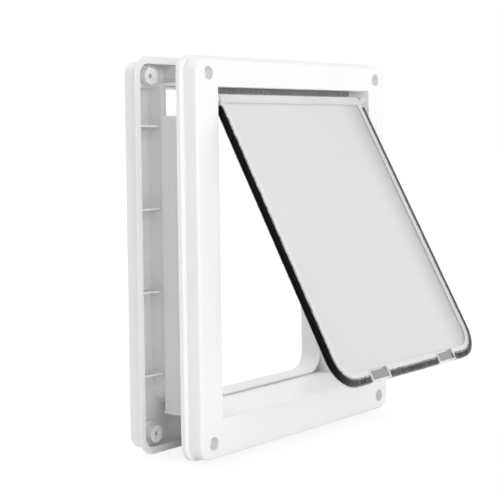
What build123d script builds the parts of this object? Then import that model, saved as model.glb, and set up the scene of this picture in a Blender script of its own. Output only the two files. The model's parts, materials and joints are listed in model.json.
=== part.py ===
from build123d import *
import os
from math import cos, radians, sin

# Dog door for a wall or a thick door: a room-side frame with a tunnel, a wall-side
# frame whose sleeve slides in the tunnel, and a swinging flap shown held open.
# X runs across the door, Y from the room through the wall, Z up. The origin is the
# middle of the four fixing holes, on the face that seats against the room side of
# the wall.

# Passage through both frames, lined by the tunnel
passage_width = 258.0
passage_height = 319.5
tunnel_wall = 3.0
tunnel_reach = 50.0
tunnel_ledge = 1.5

# Flange that carries the tunnel and seats on the wall, with its borders round the passage
side_border = 35.0
top_border = 30.5
foot_border = 40.0
flange_corner = 17.0
flange_depth = 6.0
flange_web = 3.0
flange_rim = 4.0
flange_edge_chamfer = 1.2

# Room-side cover, set in from the edge of the flange
bezel_inset_x = 4.0
bezel_inset_z = 3.0
bezel_corner = 13.0
bezel_depth = 16.5
bezel_wall = 3.0
bezel_edge_round = 3.0

# Wall-side frame, with a lip on its wall side that is a little larger than the flange
wall_gap = 52.0
rear_overhang = 1.2
rear_lip = 4.5
rear_lip_depth = 2.0
rear_depth = 21.0
rear_rim = 7.0
rear_plate = 3.0
rear_edge_round = 4.0
sleeve_wall = 2.0
sleeve_corner = 22.0
sleeve_overlap = 2.5
sleeve_clearance = 0.4

# Fixing holes, one in each corner of both frames
hole_inset_x = 21.5
hole_inset_z = 18.0
screw_clearance_diameter = 5.5
screw_recess_diameter = 13.0
screw_recess_depth = 9.0
front_post_diameter = 16.0
rear_boss_diameter = 17.0
rear_boss_hole_diameter = 5.0
boss_step_diameter = 10.0
boss_step_depth = 1.0
corner_pad_side = 11.0
corner_pad_setback = 10.0

# Stiffening ribs in the hollow backs of the flange and the wall-side frame
rib_thickness = 1.8
side_rib_pitch = 82.0
side_rib_count = 4
end_rib_pitch = 70.0
end_rib_count = 4
rib_clearance = 1.0

# Windows moulded through both side walls of the tunnel, right under its ceiling
window_start = 14.5
window_length = 33.0
window_height = 30.0

# Screws that hold the cover to the flange from behind
cover_post_diameter = 8.0
cover_screw_diameter = 2.9
cover_screw_length = 12.0
cover_screw_head_diameter = 6.0
cover_screw_head_height = 2.2
cover_screw_clearance = 0.1
cover_screw_pitch = 124.0

# Pile strip in the ceiling of the tunnel
brush_place = 3.0
brush_width = 5.0
brush_drop = 9.8
brush_backing_width = 6.6
brush_backing_thickness = 1.0
brush_end_gap = 4.0
brush_seat_clearance = 0.1

# Flap, in the pose of the photograph
flap_open_angle = 28.5
hinge_setback = 9.5
hinge_drop = 11.2
flap_side_gap = 3.2
flap_floor_gap = 3.5
flap_corner = 30.0
pile_width = 5.5
pile_thickness = 5.6
pile_edge_chamfer = 1.2
pile_start = 9.0
pile_tongue_depth = 1.8
pile_tongue_thickness = 2.0
pile_clearance = 0.1
panel_border = 6.5
panel_border_thickness = 5.4
panel_sheet_thickness = 2.4

# Rail along the top of the flap, with a steel pin in each end
rail_thickness = 8.0
rail_above_axis = 3.5
rail_below_axis = 6.5
rail_slot_depth = 4.5
rail_round = 2.0
rail_end_round = 8.5
rail_slot_clearance = 0.1
pin_diameter = 4.0
pin_seat_depth = 10.0
pin_fit = 0.05

# Bushes that carry the pins in the side walls of the cover
bush_width = 8.0
bush_clearance = 0.1
bush_end_float = 0.5
bush_collar_diameter = 9.0
bush_projection = 0.6
pin_end_margin = 0.3

# Magnets in the lower edge of the flap and under the floor of the cover
magnet_offset = 60.0
holder_width = 32.0
holder_thickness = 6.4
flap_magnet_width = 26.0
flap_magnet_height = 8.5
flap_magnet_thickness = 4.2
holder_front_wall = 1.2
holder_lower_wall = 2.0
magnet_clearance = 0.1
sill_magnet_height = 5.0
sill_magnet_width = 26.0
sill_magnet_front_gap = 2.5
pocket_wall = 1.5

# Places that follow from the sizes above
flange_width = passage_width + 2 * side_border
flange_height = passage_height + top_border + foot_border
passage_top = flange_height / 2 - top_border
passage_floor = passage_top - passage_height
passage_middle = (passage_top + passage_floor) / 2
tunnel_ceiling = passage_top + bezel_wall
tunnel_middle = (tunnel_ceiling + passage_floor) / 2
bezel_width = flange_width - 2 * bezel_inset_x
bezel_height = flange_height - 2 * bezel_inset_z
hole_pitch_x = flange_width - 2 * hole_inset_x
hole_pitch_z = flange_height - 2 * hole_inset_z
flange_front = -flange_depth
bezel_front = flange_front - bezel_depth
rear_width = flange_width + 2 * rear_overhang
rear_height = flange_height + 2 * rear_overhang
rear_corner = flange_corner + rear_overhang
rear_back = wall_gap + rear_depth
sleeve_front = tunnel_reach - sleeve_overlap
tunnel_width = passage_width + 2 * tunnel_wall
tunnel_height = tunnel_ceiling - passage_floor + 2 * tunnel_wall
cover_screw_spread = (tunnel_width + bezel_width) / 2
hinge_y = bezel_front + hinge_setback
hinge_z = passage_top - hinge_drop
flap_width = passage_width - 2 * flap_side_gap
flap_drop = hinge_z - passage_floor - flap_floor_gap
rail_width = flap_width - 2 * pile_width
flap_tilt = radians(flap_open_angle)
flap_plane = Plane(
    origin=(0, hinge_y, hinge_z),
    x_dir=(1, 0, 0),
    z_dir=(0, -cos(flap_tilt), sin(flap_tilt)),
)

os.makedirs("parts", exist_ok=True)


def across(y):
    """Plane square to the passage at the depth y, facing the room, with Z upwards."""
    return Plane.XZ.offset(-y)


def ribs(side_outer, end_outer, gap):
    """Stiffening ribs inside a sketch, from within a frame's rim to gap short of the tunnel."""
    side_inner = tunnel_width / 2 + gap
    for side in (-1, 1):
        with Locations((side * (side_inner + side_outer) / 2, passage_middle)):
            with GridLocations(0, side_rib_pitch, 1, side_rib_count):
                Rectangle(side_outer - side_inner, rib_thickness)
    for near, far in (
        (tunnel_ceiling + tunnel_wall + gap, end_outer),
        (passage_floor - tunnel_wall - gap, -end_outer),
    ):
        with Locations((0, (near + far) / 2)):
            with GridLocations(end_rib_pitch, 0, end_rib_count, 1):
                Rectangle(rib_thickness, abs(far - near))


def flap_outline(inset, top):
    """Flap outline inside a sketch: inset from its outer edge and cut off level at top."""
    bottom = inset - flap_drop
    with BuildSketch(mode=Mode.PRIVATE) as outline:
        with Locations((0, top)):
            Rectangle(flap_width - 2 * inset, top - bottom, align=(Align.CENTER, Align.MAX))
        fillet(outline.vertices().group_by(Axis.Y)[0], flap_corner - inset)
    return outline.sketch


def write(builder, name):
    """Label a finished piece and write it as a STEP file of the same name."""
    builder.part.label = name
    export_step(builder.part, f"parts/{name}.step")


# Cover on the room side: a moulded shell, hollow behind, that lines the passage.
# Tall posts take the fixing screws and short ones the cover screws, two pockets
# under its floor hold the sill magnets, and a slot in each side takes a bush.
pocket_height = sill_magnet_height + 2 * magnet_clearance
pocket_middle = passage_floor - bezel_wall - pocket_height / 2
pocket_depth = bezel_depth - bezel_wall - sill_magnet_front_gap
pocket_places = [(-magnet_offset, pocket_middle), (magnet_offset, pocket_middle)]
with BuildPart() as front_bezel:
    with BuildSketch(across(flange_front)):
        RectangleRounded(bezel_width, bezel_height, bezel_corner)
    extrude(amount=bezel_depth)
    fillet(front_bezel.faces().sort_by(Axis.Y)[0].edges(), bezel_edge_round)
    with BuildSketch(across(flange_front)):
        RectangleRounded(
            bezel_width - 2 * bezel_wall, bezel_height - 2 * bezel_wall, bezel_corner - bezel_wall
        )
    extrude(amount=bezel_depth - bezel_wall, mode=Mode.SUBTRACT)
    with BuildSketch(across(flange_front)):
        with Locations((0, passage_middle)):
            Rectangle(passage_width + 2 * bezel_wall, passage_height + 2 * bezel_wall)
        with GridLocations(hole_pitch_x, hole_pitch_z, 2, 2):
            Circle(front_post_diameter / 2)
        with GridLocations(cover_screw_spread, cover_screw_pitch, 2, 2):
            Circle(cover_post_diameter / 2)
        with Locations(*pocket_places):
            Rectangle(sill_magnet_width + 2 * pocket_wall, pocket_height + 2 * pocket_wall)
    extrude(amount=bezel_depth - bezel_wall)
    with BuildSketch(across(flange_front)):
        with Locations((0, passage_middle)):
            Rectangle(passage_width, passage_height)
    extrude(amount=bezel_depth, mode=Mode.SUBTRACT)
    with BuildSketch(across(flange_front)):
        with Locations(*pocket_places):
            Rectangle(sill_magnet_width + 2 * magnet_clearance, pocket_height)
    extrude(amount=pocket_depth, mode=Mode.SUBTRACT)
    with BuildSketch(across(flange_front)):
        with GridLocations(cover_screw_spread, cover_screw_pitch, 2, 2):
            Circle(cover_screw_diameter / 2 + cover_screw_clearance)
    extrude(amount=cover_screw_length - flange_web, mode=Mode.SUBTRACT)
    with Locations(across(bezel_front)):
        with GridLocations(hole_pitch_x, hole_pitch_z, 2, 2):
            CounterBoreHole(
                screw_clearance_diameter / 2, screw_recess_diameter / 2, screw_recess_depth
            )
    with BuildSketch(Plane.YZ.offset(-passage_width / 2 - bezel_wall)):
        with Locations((hinge_y, hinge_z)):
            Circle(bush_width / 2)
            Rectangle(flange_front - hinge_y, bush_width, align=(Align.MIN, Align.CENTER))
    extrude(amount=passage_width + 2 * bezel_wall, mode=Mode.SUBTRACT)
write(front_bezel, "front_bezel")

# Room-side frame: one moulding of a flange, hollow at the back between its rim and
# the tunnel, and the tunnel itself, with a window at the top of each side wall, a
# ledge along its floor and a shallow seat for the pile strip in its ceiling.
with BuildPart() as front_frame:
    with BuildSketch(across(0)):
        RectangleRounded(flange_width, flange_height, flange_corner)
    extrude(amount=flange_depth)
    chamfer(front_frame.faces().sort_by(Axis.Y)[0].edges(), flange_edge_chamfer)
    with BuildSketch(across(0)):
        RectangleRounded(
            flange_width - 2 * flange_rim, flange_height - 2 * flange_rim, flange_corner - flange_rim
        )
    extrude(amount=flange_depth - flange_web, mode=Mode.SUBTRACT)
    with BuildSketch(across(0)):
        with GridLocations(hole_pitch_x, hole_pitch_z, 2, 2):
            Circle(front_post_diameter / 2)
        ribs(flange_width / 2 - flange_rim / 2, flange_height / 2 - flange_rim / 2, 0)
    extrude(amount=flange_depth - flange_web)
    with BuildSketch(across(tunnel_reach)):
        with Locations((0, tunnel_middle)):
            RectangleRounded(tunnel_width, tunnel_height, tunnel_wall)
        with Locations((0, passage_floor)):
            Rectangle(
                tunnel_width + 2 * tunnel_ledge, tunnel_wall, align=(Align.CENTER, Align.MAX)
            )
    extrude(amount=tunnel_reach + flange_depth)
    with BuildSketch(across(tunnel_reach)):
        with Locations((0, tunnel_ceiling)):
            Rectangle(
                passage_width, tunnel_ceiling - passage_floor, align=(Align.CENTER, Align.MAX)
            )
    extrude(amount=tunnel_reach + flange_depth, mode=Mode.SUBTRACT)
    with BuildSketch(Plane.YZ.offset(-tunnel_width / 2)):
        with Locations((window_start, tunnel_ceiling)):
            Rectangle(window_length, window_height, align=(Align.MIN, Align.MAX))
    extrude(amount=tunnel_width, mode=Mode.SUBTRACT)
    with BuildSketch(Plane.YZ.offset(-passage_width / 2)):
        with Locations((brush_place, tunnel_ceiling)):
            Rectangle(
                brush_backing_width + 2 * brush_seat_clearance,
                brush_backing_thickness + brush_seat_clearance,
                align=(Align.CENTER, Align.MIN),
            )
    extrude(amount=passage_width, mode=Mode.SUBTRACT)
    with BuildSketch(across(0)):
        with GridLocations(hole_pitch_x, hole_pitch_z, 2, 2):
            Circle(screw_clearance_diameter / 2)
        with GridLocations(cover_screw_spread, cover_screw_pitch, 2, 2):
            Circle(cover_screw_diameter / 2 + cover_screw_clearance)
    extrude(amount=flange_depth, mode=Mode.SUBTRACT)
write(front_frame, "front_frame")

# Cover screws: four alike, driven from behind through the web of the flange.
with BuildPart() as cover_screws:
    with BuildSketch(across(flange_front + flange_web)):
        with GridLocations(cover_screw_spread, cover_screw_pitch, 2, 2):
            Circle(cover_screw_diameter / 2)
    extrude(amount=cover_screw_length - cover_screw_clearance)
    with BuildSketch(across(flange_front + flange_web + cover_screw_head_height)):
        with GridLocations(cover_screw_spread, cover_screw_pitch, 2, 2):
            Circle(cover_screw_head_diameter / 2)
    extrude(amount=cover_screw_head_height)
write(cover_screws, "cover_screws")

# Pile strip: a flat backing seated in the ceiling of the tunnel, with pile below it.
with BuildPart() as lintel_brush:
    with BuildSketch(Plane.YZ.offset(-passage_width / 2 + brush_end_gap)) as brush_section:
        with Locations((brush_place, tunnel_ceiling)):
            Rectangle(brush_width, brush_drop, align=(Align.CENTER, Align.MAX))
        fillet(brush_section.vertices().group_by(Axis.Y)[0], brush_width / 4)
        with Locations((brush_place, tunnel_ceiling)):
            Rectangle(
                brush_backing_width, brush_backing_thickness, align=(Align.CENTER, Align.MIN)
            )
    extrude(amount=passage_width - 2 * brush_end_gap)
write(lintel_brush, "lintel_brush")

def sleeve_outline(inset):
    """Sleeve outline inside a sketch, inset from its outside: square above, rounded below."""
    inset_width = passage_width - 2 * (sleeve_clearance + inset)
    inset_height = tunnel_ceiling - passage_floor - 2 * (sleeve_clearance + inset)
    with BuildSketch(mode=Mode.PRIVATE) as outline:
        with Locations((0, tunnel_middle)):
            Rectangle(inset_width, inset_height)
        fillet(outline.vertices().group_by(Axis.Y)[0], sleeve_corner - inset)
    return outline.sketch


# Wall-side frame: one moulding of a back plate, a rim that ends in a lip, a sleeve with
# rounded lower corners that slides in the tunnel, and ribs that stop short of the
# tunnel wall. A tall screw boss stands in each corner on a low corner pad.
rear_wall = rear_rim - rear_lip
wall_middle_x = rear_width / 2 - rear_rim + rear_wall / 2
wall_middle_z = rear_height / 2 - rear_rim + rear_wall / 2
hollow_depth = rear_depth - rear_plate
pad_near_x = tunnel_width / 2 + rib_clearance
pad_far_x = rear_width / 2 - rear_rim
pad_near_z = hole_pitch_z / 2 - corner_pad_side
pad_far_z = rear_height / 2 - rear_rim
with BuildPart() as rear_frame:
    with BuildSketch(across(rear_back)):
        RectangleRounded(
            rear_width - 2 * rear_lip, rear_height - 2 * rear_lip, rear_corner - rear_lip
        )
    extrude(amount=rear_depth)
    fillet(rear_frame.faces().sort_by(Axis.Y)[-1].edges(), rear_edge_round)
    with BuildSketch(across(wall_gap + rear_lip_depth)):
        RectangleRounded(rear_width, rear_height, rear_corner)
    extrude(amount=rear_lip_depth)
    with BuildSketch(across(rear_back - rear_plate)):
        RectangleRounded(
            rear_width - 2 * rear_rim, rear_height - 2 * rear_rim, rear_corner - rear_rim
        )
    extrude(amount=hollow_depth, mode=Mode.SUBTRACT)
    with BuildSketch(across(rear_back - rear_plate)):
        ribs(wall_middle_x, wall_middle_z, rib_clearance)
        with GridLocations(hole_pitch_x, hole_pitch_z, 2, 2):
            Circle(rear_boss_diameter / 2)
    extrude(amount=hollow_depth)
    with BuildSketch(across(rear_back - rear_plate)):
        with GridLocations(pad_near_x + pad_far_x, pad_near_z + pad_far_z, 2, 2):
            Rectangle(pad_far_x - pad_near_x, pad_far_z - pad_near_z)
        RectangleRounded(
            2 * wall_middle_x, 2 * wall_middle_z, rear_corner - rear_rim + rear_wall / 2,
            mode=Mode.INTERSECT,
        )
    extrude(amount=hollow_depth - corner_pad_setback)
    with BuildSketch(across(rear_back)):
        add(sleeve_outline(0))
    extrude(amount=rear_back - sleeve_front)
    with BuildSketch(across(rear_back)):
        add(sleeve_outline(sleeve_wall))
    extrude(amount=rear_back - sleeve_front, mode=Mode.SUBTRACT)
    with BuildSketch(across(rear_back - rear_plate)):
        with GridLocations(hole_pitch_x, hole_pitch_z, 2, 2):
            Circle(rear_boss_hole_diameter / 2)
    extrude(amount=hollow_depth, mode=Mode.SUBTRACT)
    with BuildSketch(across(wall_gap + boss_step_depth)):
        with GridLocations(hole_pitch_x, hole_pitch_z, 2, 2):
            Circle(boss_step_diameter / 2)
    extrude(amount=boss_step_depth, mode=Mode.SUBTRACT)
write(rear_frame, "rear_frame")

# Flap panel: one clear moulding of a thin sheet with a thick stepped border, a
# groove for the pile round its outer edge and two notches for the magnet holders.
holder_height = pile_width + panel_border
holder_places = [(-magnet_offset, -flap_drop), (magnet_offset, -flap_drop)]
panel_top = rail_slot_depth - rail_below_axis - rail_slot_clearance
panel_shape = flap_outline(pile_width + pile_clearance, panel_top)
sheet_shape = flap_outline(holder_height, -rail_below_axis)
groove_shape = flap_outline(pile_width + pile_tongue_depth + pile_clearance, -pile_start)
groove_thickness = pile_tongue_thickness + 2 * pile_clearance
sheet_recess = (panel_border_thickness - panel_sheet_thickness) / 2
with BuildPart() as flap_panel:
    with BuildSketch(flap_plane.offset(panel_border_thickness / 2)):
        add(panel_shape)
    extrude(amount=-panel_border_thickness)
    for side in (-1, 1):
        with BuildSketch(flap_plane.offset(side * panel_border_thickness / 2)):
            add(sheet_shape)
        extrude(amount=-side * sheet_recess, mode=Mode.SUBTRACT)
    with BuildSketch(flap_plane.offset(groove_thickness / 2)):
        with Locations((0, -pile_start)):
            Rectangle(flap_width, flap_drop, align=(Align.CENTER, Align.MAX))
        add(groove_shape, mode=Mode.SUBTRACT)
    extrude(amount=-groove_thickness, mode=Mode.SUBTRACT)
    with BuildSketch(flap_plane.offset(panel_border_thickness / 2)):
        with Locations(*holder_places):
            Rectangle(holder_width, holder_height, align=(Align.CENTER, Align.MIN))
    extrude(amount=-panel_border_thickness, mode=Mode.SUBTRACT)
write(flap_panel, "flap_panel")


def pile_section():
    """Section of the pile inside a sketch whose X points out of the flap, tongue inwards."""
    with BuildSketch(mode=Mode.PRIVATE) as section:
        Rectangle(pile_width, pile_thickness)
        chamfer(section.vertices().group_by(Axis.X)[-1], pile_edge_chamfer)
        with Locations((-pile_width / 2, 0)):
            Rectangle(
                pile_tongue_depth, pile_tongue_thickness, align=(Align.MAX, Align.CENTER)
            )
    return section.sketch


# Pile round the flap: a soft strip with its tongue in the groove of the panel. The
# magnet holders break it into a piece round each lower corner and one between.
pile_shape = pile_section()
pile_side = flap_width / 2 - pile_width / 2
pile_foot = pile_width / 2 - flap_drop
pile_outer_end = magnet_offset + holder_width / 2
pile_inner_end = magnet_offset - holder_width / 2
for name, side in (("flap_pile_left", -1), ("flap_pile_right", 1)):
    with BuildPart() as corner_pile:
        with BuildLine(flap_plane) as pile_path:
            FilletPolyline(
                (side * pile_side, -pile_start),
                (side * pile_side, pile_foot),
                (side * pile_outer_end, pile_foot),
                radius=flap_corner - pile_width / 2,
            )
        with BuildSketch(
            Plane(origin=pile_path.line @ 0, x_dir=(side, 0, 0), z_dir=pile_path.line % 0)
        ):
            add(pile_shape)
        sweep()
    write(corner_pile, name)
foot_origin = flap_plane.from_local_coords(Vector(-pile_inner_end, pile_foot, 0))
with BuildPart() as flap_pile_middle:
    with BuildSketch(Plane(origin=foot_origin, x_dir=-flap_plane.y_dir, z_dir=(1, 0, 0))):
        add(pile_shape)
    extrude(amount=2 * pile_inner_end)
write(flap_pile_middle, "flap_pile_middle")

# Magnet holders: clear blocks in the notches of the panel, flush with the pile, each
# with a pocket open behind for its magnet.
magnet_middle = holder_lower_wall + magnet_clearance + flap_magnet_height / 2
for name, side in (("left", -1), ("right", 1)):
    with BuildPart() as magnet_holder:
        with BuildSketch(flap_plane.offset(holder_thickness / 2)):
            with Locations((side * magnet_offset, -flap_drop)):
                Rectangle(holder_width, holder_height, align=(Align.CENTER, Align.MIN))
        extrude(amount=-holder_thickness)
        with BuildSketch(flap_plane.offset(-holder_thickness / 2)):
            with Locations((side * magnet_offset, magnet_middle - flap_drop)):
                Rectangle(
                    flap_magnet_width + 2 * magnet_clearance,
                    flap_magnet_height + 2 * magnet_clearance,
                )
        extrude(amount=holder_thickness - holder_front_wall, mode=Mode.SUBTRACT)
    write(magnet_holder, f"magnet_holder_{name}")
    with BuildPart() as flap_magnet:
        with BuildSketch(
            flap_plane.offset(holder_thickness / 2 - holder_front_wall - magnet_clearance)
        ):
            with Locations((side * magnet_offset, magnet_middle - flap_drop)):
                Rectangle(flap_magnet_width, flap_magnet_height)
        extrude(amount=-flap_magnet_thickness)
    write(flap_magnet, f"flap_magnet_{name}")
    with BuildPart() as sill_magnet:
        with BuildSketch(across(flange_front - magnet_clearance)):
            with Locations((side * magnet_offset, pocket_middle)):
                Rectangle(sill_magnet_width, sill_magnet_height)
        extrude(amount=pocket_depth - 2 * magnet_clearance)
    write(sill_magnet, f"sill_magnet_{name}")

# Hinge rail: a channel along the top of the flap that grips the panel, with rounded
# upper corners and a blind hole for a pin in each end.
rail_section_plane = Plane(
    origin=(-rail_width / 2, hinge_y, hinge_z), x_dir=flap_plane.y_dir, z_dir=(1, 0, 0)
)
rail_height = rail_above_axis + rail_below_axis
with BuildPart() as hinge_rail:
    with BuildSketch(rail_section_plane) as rail_section:
        with Locations((-rail_below_axis, 0)):
            Rectangle(rail_height, rail_thickness, align=(Align.MIN, Align.CENTER))
        fillet(rail_section.vertices().group_by(Axis.X)[-1], rail_round)
        with Locations((-rail_below_axis, 0)):
            Rectangle(
                rail_slot_depth, panel_border_thickness + 2 * rail_slot_clearance,
                align=(Align.MIN, Align.CENTER), mode=Mode.SUBTRACT,
            )
    extrude(amount=rail_width)
    with BuildSketch(flap_plane.offset(rail_thickness / 2)) as rail_face:
        with Locations((0, rail_above_axis)):
            Rectangle(rail_width, rail_height, align=(Align.CENTER, Align.MAX))
        fillet(rail_face.vertices().group_by(Axis.Y)[-1], rail_end_round)
    extrude(amount=-rail_thickness, mode=Mode.INTERSECT)
    for start in (-rail_width / 2, rail_width / 2 - pin_seat_depth):
        with BuildSketch(Plane.YZ.offset(start)):
            with Locations((hinge_y, hinge_z)):
                Circle(pin_diameter / 2 + pin_fit)
        extrude(amount=pin_seat_depth, mode=Mode.SUBTRACT)
write(hinge_rail, "hinge_rail")

# Hinge pins and the bushes that carry them. A bush is as long as its slot in the
# side of the cover, where the flange closes it in, and its collar centres the flap.
pin_start = rail_width / 2 - pin_seat_depth
bush_end = passage_width / 2 + bezel_wall + bush_projection
pin_length = bush_end - pin_end_margin - pin_start
collar_start = rail_width / 2 + bush_end_float
slot_reach = flange_front - hinge_y - bush_clearance
for name, side in (("left", -1), ("right", 1)):
    with BuildPart() as hinge_pin:
        with BuildSketch(Plane.YZ.offset(side * pin_start)):
            with Locations((hinge_y, hinge_z)):
                Circle(pin_diameter / 2)
        extrude(amount=side * pin_length)
    write(hinge_pin, f"hinge_pin_{name}")
    with BuildPart() as hinge_bush:
        with BuildSketch(Plane.YZ.offset(side * passage_width / 2)):
            with Locations((hinge_y, hinge_z)):
                Circle(bush_width / 2 - bush_clearance)
                Rectangle(
                    slot_reach, bush_width - 2 * bush_clearance, align=(Align.MIN, Align.CENTER)
                )
        extrude(amount=side * (bush_end - passage_width / 2))
        with BuildSketch(Plane.YZ.offset(side * collar_start)):
            with Locations((hinge_y, hinge_z)):
                Circle(bush_collar_diameter / 2)
        extrude(amount=side * (passage_width / 2 - collar_start))
        with BuildSketch(Plane.YZ.offset(side * collar_start)):
            with Locations((hinge_y, hinge_z)):
                Circle(pin_diameter / 2 + pin_fit)
        extrude(amount=side * (bush_end - collar_start), mode=Mode.SUBTRACT)
    write(hinge_bush, f"hinge_bush_{name}")
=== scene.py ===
# Dog door in a wall frame, its clear flap held open towards the room.
import json
import math

import bpy
from mathutils import Matrix, Vector


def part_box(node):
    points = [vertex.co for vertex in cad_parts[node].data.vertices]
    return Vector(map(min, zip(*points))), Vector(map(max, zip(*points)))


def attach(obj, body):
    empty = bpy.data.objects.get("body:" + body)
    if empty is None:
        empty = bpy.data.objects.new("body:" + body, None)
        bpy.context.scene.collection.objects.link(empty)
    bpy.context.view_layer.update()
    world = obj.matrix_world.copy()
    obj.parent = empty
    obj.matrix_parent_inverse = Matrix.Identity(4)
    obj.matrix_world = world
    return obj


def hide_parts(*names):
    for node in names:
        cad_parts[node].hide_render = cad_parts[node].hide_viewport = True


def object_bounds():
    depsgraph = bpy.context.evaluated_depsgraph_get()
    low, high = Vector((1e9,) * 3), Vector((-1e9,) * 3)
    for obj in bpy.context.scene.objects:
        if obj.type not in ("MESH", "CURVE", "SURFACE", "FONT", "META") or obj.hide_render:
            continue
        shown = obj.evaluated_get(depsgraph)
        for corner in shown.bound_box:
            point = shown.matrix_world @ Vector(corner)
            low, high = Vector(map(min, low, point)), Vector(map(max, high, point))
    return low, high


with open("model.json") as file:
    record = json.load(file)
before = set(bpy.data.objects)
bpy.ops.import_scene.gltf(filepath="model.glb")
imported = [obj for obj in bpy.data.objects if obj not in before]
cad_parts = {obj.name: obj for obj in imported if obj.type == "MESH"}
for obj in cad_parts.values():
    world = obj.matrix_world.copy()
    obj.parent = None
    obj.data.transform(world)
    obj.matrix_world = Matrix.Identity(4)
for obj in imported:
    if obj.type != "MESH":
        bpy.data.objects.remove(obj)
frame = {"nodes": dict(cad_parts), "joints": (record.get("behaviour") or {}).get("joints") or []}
solid_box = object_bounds()
nodes = frame["nodes"]
bpy.context.scene.view_settings.view_transform = "Standard"


# Room-side frame. It is moulded in white ABS, and its flange seats on the wall while
# its tunnel runs into the cut-out. The tool was polished, so the skin is smooth, with
# a faint orange-peel that shows only in the reflections.
def hex_colour(code):
    """Linear colour with full alpha from an sRGB hex code such as #F4F4F3."""
    linear = []
    for start in (1, 3, 5):
        value = int(code[start:start + 2], 16) / 255
        linear.append(value / 12.92 if value <= 0.04045 else ((value + 0.055) / 1.055) ** 2.4)
    return (*linear, 1.0)


def add_node(tree, kind, values=None, links=None, **settings):
    """Add a node with its settings, the values of its inputs and the sockets they link to."""
    node = tree.nodes.new(kind)
    for name, value in settings.items():
        setattr(node, name, value)
    for key, value in (values or {}).items():
        node.inputs[key].default_value = value
    for key, source in (links or {}).items():
        tree.links.new(source, node.inputs[key])
    return node


def new_material(name):
    """Empty node material with its output, ready for a shader."""
    material = bpy.data.materials.new(name)
    material.use_nodes = True
    tree = material.node_tree
    tree.nodes.clear()
    output = add_node(tree, "ShaderNodeOutputMaterial")
    return material, tree, output


def moulded_plastic(name, light, dark, roughness):
    """Moulded plastic: a faint drift of tone, and orange-peel in the gloss."""
    drifts_per_metre = 9.0
    peel_mm = 0.9
    peel_depth_mm = 0.004
    gloss_spread = 0.04
    material, tree, output = new_material(name)
    place = add_node(tree, "ShaderNodeTexCoord").outputs["Object"]
    drift = add_node(
        tree, "ShaderNodeTexNoise", {"Scale": drifts_per_metre, "Detail": 2.0}, {"Vector": place}
    )
    tone = add_node(
        tree, "ShaderNodeMix",
        {"A": hex_colour(light), "B": hex_colour(dark)},
        {"Factor": drift.outputs["Fac"]},
        data_type="RGBA",
    )
    peel = add_node(
        tree, "ShaderNodeTexNoise", {"Scale": 1000 / peel_mm, "Detail": 1.0}, {"Vector": place}
    )
    gloss = add_node(
        tree, "ShaderNodeMapRange",
        {"To Min": roughness - gloss_spread, "To Max": roughness + gloss_spread},
        {"Value": peel.outputs["Fac"]},
    )
    bump = add_node(
        tree, "ShaderNodeBump",
        {"Strength": 0.5, "Distance": peel_depth_mm / 1000},
        {"Height": peel.outputs["Fac"]},
    )
    shader = add_node(
        tree, "ShaderNodeBsdfPrincipled",
        {"IOR": 1.53},
        {
            "Base Color": tone.outputs["Result"],
            "Roughness": gloss.outputs["Result"],
            "Normal": bump.outputs["Normal"],
        },
    )
    tree.links.new(shader.outputs["BSDF"], output.inputs["Surface"])
    return material


def finish_node(name, material):
    """Give a solid of the frame its finish in every material slot it has."""
    for slot in nodes[name].material_slots:
        slot.material = material


white_abs = moulded_plastic("white_abs", "#EDEDED", "#EBEBEB", roughness=0.34)
finish_node("front_frame", white_abs)

# Cover. The same white ABS as the frame behind it, but from a tool with a finer
# polish, so that its face is the smoothest part of the door.
cover_abs = moulded_plastic("cover_abs", "#EEEEEE", "#ECECEC", roughness=0.3)
finish_node("front_bezel", cover_abs)

# Cover screws. Small pan heads of zinc-plated steel, driven from behind the flange,
# where the wall hides them. The plating shows spangles of about 0.7 mm.
screw_zinc, tree, output = new_material("screw_zinc")
spangles_per_metre = 1400.0
place = add_node(tree, "ShaderNodeTexCoord").outputs["Object"]
spangle = add_node(
    tree, "ShaderNodeTexVoronoi", {"Scale": spangles_per_metre}, {"Vector": place}
)
tone = add_node(
    tree, "ShaderNodeMix",
    {"A": hex_colour("#B9BDC1"), "B": hex_colour("#D3D5D6")},
    {"Factor": spangle.outputs["Distance"]},
    data_type="RGBA",
)
shader = add_node(
    tree, "ShaderNodeBsdfPrincipled",
    {"Metallic": 1.0, "Roughness": 0.32},
    {"Base Color": tone.outputs["Result"]},
)
tree.links.new(shader.outputs["BSDF"], output.inputs["Surface"])
finish_node("cover_screws", screw_zinc)

# Wall-side frame. The third white moulding: its sleeve slides in the tunnel, and its
# open back shows the ribs, so it has the slightly duller skin of a deep tool. Its white
# is a shade greyer than the other two, as painted shade in the recess it lines.
frame_abs = moulded_plastic("frame_abs", "#E8E8E8", "#E5E5E5", roughness=0.38)
finish_node("rear_frame", frame_abs)

# Sill and flap magnets. Pressed ferrite blocks, ground flat, dark grey and faintly
# granular. The grain is finer than this on the real ones and is drawn at about 0.9 mm,
# so that it shows.
ferrite, tree, output = new_material("ferrite")
grains_per_metre = 1100.0
grain_depth = 0.0001
place = add_node(tree, "ShaderNodeTexCoord").outputs["Object"]
grain = add_node(
    tree, "ShaderNodeTexNoise", {"Scale": grains_per_metre, "Detail": 4.0}, {"Vector": place}
)
tone = add_node(
    tree, "ShaderNodeMix",
    {"A": hex_colour("#5A5A5B"), "B": hex_colour("#828283")},
    {"Factor": grain.outputs["Fac"]},
    data_type="RGBA",
)
bump = add_node(
    tree, "ShaderNodeBump", {"Strength": 0.4, "Distance": grain_depth},
    {"Height": grain.outputs["Fac"]},
)
shader = add_node(
    tree, "ShaderNodeBsdfPrincipled",
    {"Metallic": 0.0, "Roughness": 0.5, "IOR": 2.0},
    {"Base Color": tone.outputs["Result"], "Normal": bump.outputs["Normal"]},
)
tree.links.new(shader.outputs["BSDF"], output.inputs["Surface"])
for name in ("sill_magnet_left", "sill_magnet_right", "flap_magnet_left", "flap_magnet_right"):
    finish_node(name, ferrite)


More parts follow.
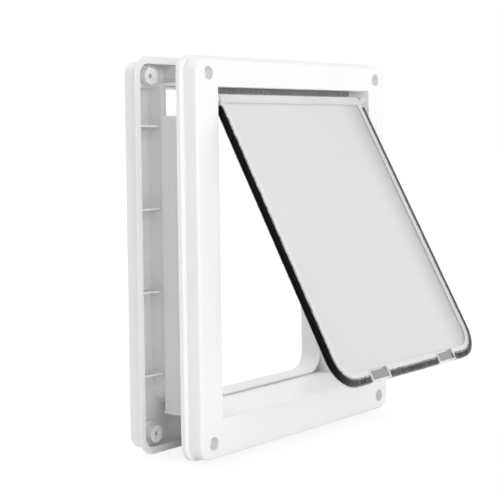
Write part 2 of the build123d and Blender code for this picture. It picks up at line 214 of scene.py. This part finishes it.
# Flap panel. One moulding of natural polypropylene, milky clear, thin in the middle and
# with a thick border that looks lighter. It lets light pass, and the frame behind hardly
# shows.
def clear_plastic(name, colour, alpha, roughness):
    """Milky clear plastic, see-through by its alpha, with an uneven gloss."""
    flows_per_metre = 14.0
    gloss_spread = 0.05
    material, tree, output = new_material(name)
    place = add_node(tree, "ShaderNodeTexCoord").outputs["Object"]
    flow = add_node(
        tree, "ShaderNodeTexNoise", {"Scale": flows_per_metre, "Detail": 1.0}, {"Vector": place}
    )
    gloss = add_node(
        tree, "ShaderNodeMapRange",
        {"To Min": roughness - gloss_spread, "To Max": roughness + gloss_spread},
        {"Value": flow.outputs["Fac"]},
    )
    shader = add_node(
        tree, "ShaderNodeBsdfPrincipled",
        {"Base Color": hex_colour(colour), "Alpha": alpha, "IOR": 1.49},
        {"Roughness": gloss.outputs["Result"]},
    )
    tree.links.new(shader.outputs["BSDF"], output.inputs["Surface"])
    return material, tree, shader


# The flap hangs shut halfway between its limits, which gives its tilt as photographed.
swing = next(joint for joint in frame["joints"] if joint["name"] == "flap_swing")
flap_tilt = -math.radians(sum(swing["range_deg"]) / 2)
hinge_place = Vector(swing["pos_m"])


def away_from_hinge(tree, place, direction):
    """Distance of a place from the hinge along a direction, in metres."""
    from_hinge = add_node(
        tree, "ShaderNodeVectorMath", {1: hinge_place}, {0: place}, operation="SUBTRACT"
    )
    distance = add_node(
        tree, "ShaderNodeVectorMath", {1: direction}, {0: from_hinge.outputs["Vector"]},
        operation="DOT_PRODUCT",
    )
    return distance.outputs["Value"]


milky = "#E4E4E4"
milky_polypropylene, tree, shader = clear_plastic(
    "milky_polypropylene", milky, alpha=0.78, roughness=0.3
)
place = add_node(tree, "ShaderNodeTexCoord").outputs["Object"]

# Painted shade: the sheet turns greyer towards its right edge.
shade_start = 0.075
shade_end = 0.122
across = add_node(tree, "ShaderNodeSeparateXYZ", None, {"Vector": place}).outputs["X"]
right_shade = add_node(
    tree, "ShaderNodeMapRange", {"From Min": shade_start, "From Max": shade_end},
    {"Value": across},
    interpolation_type="SMOOTHSTEP",
)
# The grey it turns to is painted shade.
milk_and_shade = add_node(
    tree, "ShaderNodeMix", {"A": hex_colour(milky), "B": hex_colour("#C6C6C6")},
    {"Factor": right_shade.outputs["Result"]},
    data_type="RGBA",
)

# The border's faces are the ones that lie further than this from the sheet's middle.
border_face = 0.002
off_sheet = away_from_hinge(tree, place, (0.0, -math.cos(flap_tilt), math.sin(flap_tilt)))
either_side = add_node(tree, "ShaderNodeMath", None, {0: off_sheet}, operation="ABSOLUTE")
on_border = add_node(
    tree, "ShaderNodeMath", {1: border_face}, {0: either_side.outputs["Value"]},
    operation="GREATER_THAN",
)
thick = add_node(
    tree, "ShaderNodeMix", {"B": hex_colour("#EEEEEE")},
    {"Factor": on_border.outputs["Value"], "A": milk_and_shade.outputs["Result"]},
    data_type="RGBA",
)
tree.links.new(thick.outputs["Result"], shader.inputs["Base Color"])
finish_node("flap_panel", milky_polypropylene)

# Hinge rail. A channel along the top of the flap that grips the panel, extruded in the
# same polypropylene, a little duller and whiter than the panel.
rail_polypropylene = clear_plastic(
    "rail_polypropylene", "#EAEAEA", alpha=0.7, roughness=0.34
)[0]
finish_node("hinge_rail", rail_polypropylene)

# Hinge bushes. Turned acetal, natural and so a little greyer than the mouldings, pressed
# into the side walls of the cover.
bush_acetal = moulded_plastic("bush_acetal", "#D2D2D1", "#CBCBCA", roughness=0.42)
finish_node("hinge_bush_left", bush_acetal)
finish_node("hinge_bush_right", bush_acetal)

# Hinge pins. Steel rod, drawn through a die and cut to length, in the ends of the rail.
# The draw lines along it, about 17 mm long and 0.4 mm wide, stretch its reflections.
pin_steel, tree, output = new_material("pin_steel")
lines_per_metre = (60.0, 2400.0, 2400.0)
smoothest = 0.22
roughest = 0.4
place = add_node(tree, "ShaderNodeTexCoord").outputs["Object"]
along = add_node(tree, "ShaderNodeMapping", {"Scale": lines_per_metre}, {"Vector": place})
drawn = add_node(tree, "ShaderNodeTexNoise", {"Scale": 1.0}, {"Vector": along.outputs["Vector"]})
gloss = add_node(
    tree, "ShaderNodeMapRange", {"To Min": smoothest, "To Max": roughest},
    {"Value": drawn.outputs["Fac"]},
)
shader = add_node(
    tree, "ShaderNodeBsdfPrincipled",
    {"Base Color": hex_colour("#C4C6C8"), "Metallic": 1.0},
    {"Roughness": gloss.outputs["Result"]},
)
tree.links.new(shader.outputs["BSDF"], output.inputs["Surface"])
for name in ("hinge_pin_left", "hinge_pin_right"):
    finish_node(name, pin_steel)

# Magnet holders. Blocks of moulded acrylic bonded into the lower edge of the panel,
# water-clear in front of the magnet and frosted in the walls round it.
clear_alpha = 0.1
frosted_alpha = 0.62
clear_acrylic, tree, shader = clear_plastic(
    "clear_acrylic", "#F4F4F4", alpha=clear_alpha, roughness=0.12
)
place = add_node(tree, "ShaderNodeTexCoord").outputs["Object"]

# The walls are the parts of a block beside its magnet and below it.
magnet_offset = 0.060
magnet_half_width = 0.0132
magnet_foot = 0.3029
across = add_node(tree, "ShaderNodeSeparateXYZ", None, {"Vector": place}).outputs["X"]
from_middle = add_node(tree, "ShaderNodeMath", None, {0: across}, operation="ABSOLUTE")
from_magnet = add_node(
    tree, "ShaderNodeMath", {1: magnet_offset}, {0: from_middle.outputs["Value"]},
    operation="SUBTRACT",
)
sideways = add_node(
    tree, "ShaderNodeMath", None, {0: from_magnet.outputs["Value"]}, operation="ABSOLUTE"
)
beside = add_node(
    tree, "ShaderNodeMath", {1: magnet_half_width}, {0: sideways.outputs["Value"]},
    operation="GREATER_THAN",
)
down_flap = away_from_hinge(tree, place, (0.0, -math.sin(flap_tilt), -math.cos(flap_tilt)))
below = add_node(
    tree, "ShaderNodeMath", {1: magnet_foot}, {0: down_flap}, operation="GREATER_THAN"
)
in_wall = add_node(
    tree, "ShaderNodeMath", None, {0: beside.outputs["Value"], 1: below.outputs["Value"]},
    operation="MAXIMUM",
)
frost = add_node(
    tree, "ShaderNodeMapRange", {"To Min": clear_alpha, "To Max": frosted_alpha},
    {"Value": in_wall.outputs["Value"]},
)
tree.links.new(frost.outputs["Result"], shader.inputs["Alpha"])
for name in ("magnet_holder_left", "magnet_holder_right"):
    finish_node(name, clear_acrylic)


# Pile round the flap. Black polypropylene fibres on a woven backing that sits in the
# groove of the panel, broken by the magnet holders. Their sides carry a painted sheen of
# grey that fades to painted shade at the roots and is left out of the left run, which
# shows black. Drawn coarser than real.
def pile_material(name, root, dark, light):
    """Matt fibres with a painted sheen on their sides, fading to painted shade at the root and left
    out of the left run, with tufts of uneven tone.
    """
    tuft_mm = 1.6
    tuft_low = 0.3
    tuft_high = 0.7
    root_sheen = 0.35
    # How far a fibre points to the right: -1 is straight to the left.
    darkest_lay = -0.97
    lightest_lay = -0.3
    material, tree, output = new_material(name)
    place = add_node(tree, "ShaderNodeTexCoord").outputs["Object"]
    tufts = add_node(
        tree, "ShaderNodeTexNoise", {"Scale": 1000 / tuft_mm, "Detail": 3.0}, {"Vector": place}
    )
    spread = add_node(
        tree, "ShaderNodeMapRange", {"From Min": tuft_low, "From Max": tuft_high},
        {"Value": tufts.outputs["Fac"]},
    )
    side = add_node(
        tree, "ShaderNodeMix",
        {"A": hex_colour(dark), "B": hex_colour(light)},
        {"Factor": spread.outputs["Result"]},
        data_type="RGBA",
    )
    # The painted sheen grows as a fibre points further to the right, and the left run keeps painted
    # shade.
    outward = add_node(tree, "ShaderNodeAttribute", attribute_name="outward")
    sheen_by_lay = add_node(
        tree, "ShaderNodeMapRange", {"From Min": darkest_lay, "From Max": lightest_lay},
        {"Value": outward.outputs["Fac"]},
    )
    # The painted sheen fades from the tip to the root, which is left in painted shade.
    tip = add_node(tree, "ShaderNodeAttribute", attribute_name="tip")
    sheen_to_tip = add_node(
        tree, "ShaderNodeMapRange", {"To Min": root_sheen, "To Max": 1.0},
        {"Value": tip.outputs["Fac"]},
    )
    sheen_share = add_node(
        tree, "ShaderNodeMath", None,
        {0: sheen_by_lay.outputs["Result"], 1: sheen_to_tip.outputs["Result"]},
        operation="MULTIPLY",
    )
    tone = add_node(
        tree, "ShaderNodeMix", {"A": hex_colour(root)},
        {"Factor": sheen_share.outputs["Value"], "B": side.outputs["Result"]},
        data_type="RGBA",
    )
    shader = add_node(
        tree, "ShaderNodeBsdfPrincipled",
        {"Roughness": 0.85, "IOR": 1.49, "Specular IOR Level": 0.12},
        {"Base Color": tone.outputs["Result"]},
    )
    tree.links.new(shader.outputs["BSDF"], output.inputs["Surface"])
    return material


def pile_tree():
    """Geometry nodes that turn a backing path into a dense core with fibres standing on it."""
    bend_points = 14
    most_per_square_metre = 3.0e7
    tip_share = 0.45
    shortest_share = 0.9
    group = bpy.data.node_groups.new("pile_strip", "GeometryNodeTree")
    face = group.interface
    face.new_socket("Path", in_out="INPUT", socket_type="NodeSocketGeometry")
    for label in (
        "Bend Radius", "Backing Width", "Core Width", "Core Height", "Fibre Length",
        "Fibre Radius", "Fibre Spacing", "Lean",
    ):
        face.new_socket(label, in_out="INPUT", socket_type="NodeSocketFloat")
    face.new_socket("Seed", in_out="INPUT", socket_type="NodeSocketInt")
    face.new_socket("Fibre Finish", in_out="INPUT", socket_type="NodeSocketMaterial")
    face.new_socket("Pile", in_out="OUTPUT", socket_type="NodeSocketGeometry")
    given = add_node(group, "NodeGroupInput").outputs

    # Backing: a flat tape along the path, with its corners bent.
    bent = add_node(
        group, "GeometryNodeFilletCurve", {"Count": bend_points},
        {"Curve": given["Path"], "Radius": given["Bend Radius"]},
        mode="POLY",
    )
    level = add_node(
        group, "GeometryNodeSetCurveNormal", None, {"Curve": bent.outputs["Curve"]}, mode="Z_UP"
    )
    half = add_node(
        group, "ShaderNodeMath", {1: 0.5}, {0: given["Backing Width"]}, operation="MULTIPLY"
    )
    other_half = add_node(
        group, "ShaderNodeMath", {1: -0.5}, {0: given["Backing Width"]}, operation="MULTIPLY"
    )
    near_edge = add_node(group, "ShaderNodeCombineXYZ", None, {"Y": half.outputs["Value"]})
    far_edge = add_node(group, "ShaderNodeCombineXYZ", None, {"Y": other_half.outputs["Value"]})
    backing_section = add_node(
        group, "GeometryNodeCurvePrimitiveLine", None,
        {"Start": far_edge.outputs["Vector"], "End": near_edge.outputs["Vector"]},
    )
    backing = add_node(
        group, "GeometryNodeCurveToMesh", {"Fill Caps": False},
        {"Curve": level.outputs["Curve"], "Profile Curve": backing_section.outputs["Curve"]},
    )

    # Roots: as many as fit at the spacing, each marked with the way it faces.
    roots = add_node(
        group, "GeometryNodeDistributePointsOnFaces", {"Density Max": most_per_square_metre},
        {
            "Mesh": backing.outputs["Mesh"], "Distance Min": given["Fibre Spacing"],
            "Seed": given["Seed"],
        },
        distribute_method="POISSON",
    )
    facing = add_node(
        group, "ShaderNodeSeparateXYZ", None, {"Vector": roots.outputs["Normal"]}
    )
    marked_roots = add_node(
        group, "GeometryNodeStoreNamedAttribute", {"Name": "outward"},
        {"Geometry": roots.outputs["Points"], "Value": facing.outputs["X"]},
        data_type="FLOAT", domain="POINT",
    )

    # Fibres: thin three-sided cones, each leaning and cut a little differently.
    lean_back = add_node(
        group, "ShaderNodeMath", {1: -1.0}, {0: given["Lean"]}, operation="MULTIPLY"
    )
    least = add_node(
        group, "ShaderNodeCombineXYZ", {"Z": -math.pi},
        {"X": lean_back.outputs["Value"], "Y": lean_back.outputs["Value"]},
    )
    most = add_node(
        group, "ShaderNodeCombineXYZ", {"Z": math.pi}, {"X": given["Lean"], "Y": given["Lean"]}
    )
    lean = add_node(
        group, "FunctionNodeRandomValue", None,
        {0: least.outputs["Vector"], 1: most.outputs["Vector"], "Seed": given["Seed"]},
        data_type="FLOAT_VECTOR",
    )
    turned = add_node(
        group, "FunctionNodeRotateRotation", None,
        {"Rotation": roots.outputs["Rotation"], "Rotate By": lean.outputs[0]},
        rotation_space="LOCAL",
    )
    trim = add_node(
        group, "FunctionNodeRandomValue", {2: shortest_share, 3: 1.0}, {"Seed": given["Seed"]},
        data_type="FLOAT",
    )
    tip = add_node(
        group, "ShaderNodeMath", {1: tip_share}, {0: given["Fibre Radius"]}, operation="MULTIPLY"
    )
    fibre = add_node(
        group, "GeometryNodeMeshCone", {"Vertices": 3},
        {
            "Radius Bottom": given["Fibre Radius"], "Radius Top": tip.outputs["Value"],
            "Depth": given["Fibre Length"],
        },
    )
    marked_fibre = add_node(
        group, "GeometryNodeStoreNamedAttribute", {"Name": "tip"},
        {"Geometry": fibre.outputs["Mesh"], "Value": fibre.outputs["Top"]},
        data_type="FLOAT", domain="POINT",
    )
    size = add_node(
        group, "ShaderNodeCombineXYZ", {"X": 1.0, "Y": 1.0}, {"Z": trim.outputs[1]}
    )
    fibres = add_node(
        group, "GeometryNodeInstanceOnPoints", None,
        {
            "Points": marked_roots.outputs["Geometry"],
            "Instance": marked_fibre.outputs["Geometry"],
            "Rotation": turned.outputs["Rotation"], "Scale": size.outputs["Vector"],
        },
    )

    # Core: a dark bar under the fibre tips, which stands for the fibres too deep to see.
    core_section = add_node(
        group, "GeometryNodeCurvePrimitiveQuadrilateral", None,
        {"Width": given["Core Height"], "Height": given["Core Width"]},
        mode="RECTANGLE",
    )
    outwards = add_node(
        group, "ShaderNodeMath", {1: 0.5}, {0: given["Core Height"]}, operation="MULTIPLY"
    )
    core_shift = add_node(group, "ShaderNodeCombineXYZ", None, {"X": outwards.outputs["Value"]})
    core_placed = add_node(
        group, "GeometryNodeTransform", None,
        {"Geometry": core_section.outputs["Curve"], "Translation": core_shift.outputs["Vector"]},
    )
    core = add_node(
        group, "GeometryNodeCurveToMesh", {"Fill Caps": True},
        {"Curve": level.outputs["Curve"], "Profile Curve": core_placed.outputs["Geometry"]},
    )
    # The core counts as pointing left, so it takes the root tone with no painted sheen.
    shaded_core = add_node(
        group, "GeometryNodeStoreNamedAttribute", {"Name": "outward", "Value": -1.0},
        {"Geometry": core.outputs["Mesh"]},
        data_type="FLOAT", domain="POINT",
    )
    both = add_node(group, "GeometryNodeJoinGeometry")
    group.links.new(fibres.outputs["Instances"], both.inputs["Geometry"])
    group.links.new(shaded_core.outputs["Geometry"], both.inputs["Geometry"])
    loose = add_node(
        group, "GeometryNodeRealizeInstances", None, {"Geometry": both.outputs["Geometry"]}
    )
    painted = add_node(
        group, "GeometryNodeSetMaterial", None,
        {"Geometry": loose.outputs["Geometry"], "Material": given["Fibre Finish"]},
    )
    add_node(group, "NodeGroupOutput", None, {"Pile": painted.outputs["Geometry"]})
    return group


def pile_strip(name, node, body, points, placing, sizes, material):
    """One pile strip on a backing path of points, drawn flat and then moved by placing."""
    curve = bpy.data.curves.new(name + "_path", "CURVE")
    curve.dimensions = "3D"
    spline = curve.splines.new("POLY")
    spline.points.add(len(points) - 1)
    for spot, (x, y) in zip(spline.points, points):
        spot.co = (x, y, 0.0, 1.0)
    holder = bpy.data.objects.new(name + "_path", curve)
    bpy.context.scene.collection.objects.link(holder)
    modifier = holder.modifiers.new("pile", "NODES")
    modifier.node_group = strip_tree
    keys = {
        item.name: item.identifier
        for item in strip_tree.interface.items_tree
        if item.item_type == "SOCKET" and item.in_out == "INPUT"
    }
    for label, value in sizes.items():
        modifier[keys[label]] = value
    modifier[keys["Fibre Finish"]] = material
    bpy.context.view_layer.update()
    graph = bpy.context.evaluated_depsgraph_get()
    mesh = bpy.data.meshes.new_from_object(holder.evaluated_get(graph), depsgraph=graph)
    bpy.data.objects.remove(holder)
    mesh.transform(placing)
    mesh.name = name
    piece = bpy.data.objects.new(name, mesh)
    bpy.context.scene.collection.objects.link(piece)
    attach(piece, body)
    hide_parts(node)


strip_tree = pile_tree()
flap_placing = Matrix((
    (1.0, 0.0, 0.0, hinge_place.x),
    (0.0, math.sin(flap_tilt), -math.cos(flap_tilt), hinge_place.y),
    (0.0, math.cos(flap_tilt), math.sin(flap_tilt), hinge_place.z),
    (0.0, 0.0, 0.0, 1.0),
))
# Where the backing runs in the plane of the flap, from the hinge.
backing_side = 0.1183
backing_foot = -0.2975
strip_top = -0.0094
strip_outer_end = 0.0758
strip_inner_end = 0.0438
# A real fibre is under 0.1 mm thick. These are 0.36 mm at the root, so that they show.
flap_pile_sizes = {
    "Bend Radius": 0.0225, "Backing Width": 0.0058, "Core Width": 0.0049, "Core Height": 0.0062,
    "Fibre Length": 0.0074, "Fibre Radius": 0.00018, "Fibre Spacing": 0.0004, "Lean": 0.05,
    "Seed": 4,
}
# Black fibres whose sides are painted grey as a sheen.
black_pile = pile_material("black_pile", root="#141414", dark="#808080", light="#B4B4B4")
side_paths = {
    "flap_pile_left": [
        (-backing_side, strip_top), (-backing_side, backing_foot), (-strip_outer_end, backing_foot),
    ],
    "flap_pile_right": [
        (strip_outer_end, backing_foot), (backing_side, backing_foot), (backing_side, strip_top),
    ],
    "flap_pile_middle": [(-strip_inner_end, backing_foot), (strip_inner_end, backing_foot)],
}
for name, points in side_paths.items():
    pile_strip(
        name + "_fibres", name, "flap", points, flap_placing, flap_pile_sizes, black_pile
    )

# Pile strip in the ceiling of the tunnel. The same fibres in grey, hanging down to
# wipe the top of the rail when the flap is shut.
# Grey fibres whose sides carry a lighter painted sheen, fading towards the root.
grey_pile = pile_material("grey_pile", root="#8A8A8A", dark="#BEBEBE", light="#DEDEDE")
brush_low, brush_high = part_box("lintel_brush")
brush_backing = 0.001
brush_middle = (brush_low.y + brush_high.y) / 2
brush_placing = Matrix((
    (1.0, 0.0, 0.0, 0.0),
    (0.0, 0.0, -1.0, brush_middle),
    (0.0, 1.0, 0.0, brush_high.z - brush_backing),
    (0.0, 0.0, 0.0, 1.0),
))
brush_sizes = dict(
    flap_pile_sizes,
    **{"Backing Width": 0.0044, "Core Width": 0.0036, "Core Height": 0.0084,
       "Fibre Length": 0.0097, "Seed": 9},
)
end_inset = 0.0003
brush_ends = [(brush_low.x + end_inset, 0.0), (brush_high.x - end_inset, 0.0)]
pile_strip(
    "lintel_brush_fibres", "lintel_brush", "front", brush_ends, brush_placing,
    brush_sizes, grey_pile,
)

# Floor. A white studio floor under both frames, plain white to the camera apart from
# the soft shadow of the door.
low, high = solid_box
floor_z = low[2]
floor_half = 9.0
floor_mesh = bpy.data.meshes.new("floor")
floor_mesh.from_pydata(
    [
        (-floor_half, -floor_half, floor_z), (floor_half, -floor_half, floor_z),
        (floor_half, floor_half, floor_z), (-floor_half, floor_half, floor_z),
    ],
    [], [(0, 1, 2, 3)],
)
floor = bpy.data.objects.new("floor", floor_mesh)
bpy.context.scene.collection.objects.link(floor)
floor_white, tree, output = new_material("floor_white")
paint = add_node(tree, "ShaderNodeBsdfDiffuse", {"Color": hex_colour("#F2F2F2")})
floor_glow = 1.07
glow_share = 0.8
glow = add_node(
    tree, "ShaderNodeEmission", {"Color": hex_colour("#FFFFFF"), "Strength": floor_glow}
)
lit = add_node(
    tree, "ShaderNodeMixShader", {"Fac": glow_share},
    {1: paint.outputs["BSDF"], 2: glow.outputs["Emission"]},
)
rays = add_node(tree, "ShaderNodeLightPath")
seen = add_node(
    tree, "ShaderNodeMath", None,
    {0: rays.outputs["Is Camera Ray"], 1: rays.outputs["Is Glossy Ray"]},
    operation="MAXIMUM",
)
choice = add_node(
    tree, "ShaderNodeMixShader", None,
    {"Fac": seen.outputs["Value"], 1: paint.outputs["BSDF"], 2: lit.outputs["Shader"]},
)
tree.links.new(choice.outputs["Shader"], output.inputs["Surface"])
floor_mesh.materials.append(floor_white)

# World. A white studio with five broad soft boxes round the door, the strongest high
# behind it and the next low in front, to its left, and plain white to the camera.
world = bpy.data.worlds.new("studio")
bpy.context.scene.world = world
world.use_nodes = True
tree = world.node_tree
tree.nodes.clear()
sky_base = 0.3
glow_tightness = 10.0
# The direction and the strength of each soft box.
studio_glows = (
    ((0.0, -0.990, 0.139), 1.2),
    ((-0.419, -0.897, 0.139), 3.45),
    ((-0.957, -0.256, 0.139), 0.45),
    ((0.0, 0.66, 0.75), 4.2),
    ((0.966, 0.0, 0.259), 1.0),
)
towards = add_node(tree, "ShaderNodeTexCoord").outputs["Generated"]
sky_light = add_node(tree, "ShaderNodeValue").outputs["Value"]
sky_light.default_value = sky_base
for side, strength in studio_glows:
    facing = add_node(
        tree, "ShaderNodeVectorMath", {1: Vector(side).normalized()}, {0: towards},
        operation="DOT_PRODUCT",
    )
    ahead = add_node(
        tree, "ShaderNodeMath", {1: 0.0}, {0: facing.outputs["Value"]}, operation="MAXIMUM"
    )
    lobe = add_node(
        tree, "ShaderNodeMath", {1: glow_tightness}, {0: ahead.outputs["Value"]}, operation="POWER"
    )
    summed = add_node(
        tree, "ShaderNodeMath", {1: strength},
        {0: lobe.outputs["Value"], 2: sky_light},
        operation="MULTIPLY_ADD",
    )
    sky_light = summed.outputs["Value"]
rays = add_node(tree, "ShaderNodeLightPath")
seen = add_node(
    tree, "ShaderNodeMath", None,
    {0: rays.outputs["Is Camera Ray"], 1: rays.outputs["Is Glossy Ray"]},
    operation="MAXIMUM",
)
through = add_node(
    tree, "ShaderNodeMath", None,
    {0: seen.outputs["Value"], 1: rays.outputs["Is Transmission Ray"]},
    operation="MAXIMUM",
)
level = add_node(
    tree, "ShaderNodeMapRange", {"To Max": 1.0},
    {"Value": through.outputs["Value"], "To Min": sky_light},
)
sky = add_node(
    tree, "ShaderNodeBackground", {"Color": hex_colour("#FFFFFF")},
    {"Strength": level.outputs["Result"]},
)
add_node(tree, "ShaderNodeOutputWorld", None, {"Surface": sky.outputs["Background"]})

# Key lamp. A faint soft box in front of the door and to its left, which helps to draw
# the bright lines along the rounded left edges of the frames.
key_place = Vector((-1.55, -2.0, 0.35))
key_light = bpy.data.lights.new("key", "AREA")
key_light.size = 0.9
key_light.energy = 2.5
key_lamp = bpy.data.objects.new("key", key_light)
key_lamp.location = key_place
key_lamp.rotation_euler = (-key_place).to_track_quat("-Z", "Y").to_euler()
bpy.context.scene.collection.objects.link(key_lamp)

# Camera. A long lens at the photograph's place, as high as the upper part of the door
# and nearly level, with the frame shifted down to take in the whole door.
camera_place = (-1.0791, -0.8301, 0.1166)
camera_bearing = math.radians(50.995)
camera_drop = math.radians(1.304)
camera_roll = math.radians(-0.840)
sensor_width = 36.0
focal_pixels = 1301.0
frame_pixels = 500.0
eye_line_pixel = 165.6
camera_data = bpy.data.cameras.new("camera")
camera_data.sensor_width = sensor_width
camera_data.lens = focal_pixels / frame_pixels * sensor_width
camera_data.shift_y = (eye_line_pixel - frame_pixels / 2) / frame_pixels
forward = Vector((
    math.sin(camera_bearing) * math.cos(camera_drop),
    math.cos(camera_bearing) * math.cos(camera_drop),
    -math.sin(camera_drop),
))
level_right = Vector((math.cos(camera_bearing), -math.sin(camera_bearing), 0.0))
level_up = level_right.cross(forward)
right = math.cos(camera_roll) * level_right + math.sin(camera_roll) * level_up
up = -math.sin(camera_roll) * level_right + math.cos(camera_roll) * level_up
camera = bpy.data.objects.new("camera", camera_data)
camera.matrix_world = Matrix((
    (right.x, up.x, -forward.x, camera_place[0]),
    (right.y, up.y, -forward.y, camera_place[1]),
    (right.z, up.z, -forward.z, camera_place[2]),
    (0.0, 0.0, 0.0, 1.0),
))
bpy.context.scene.collection.objects.link(camera)
bpy.context.scene.camera = camera
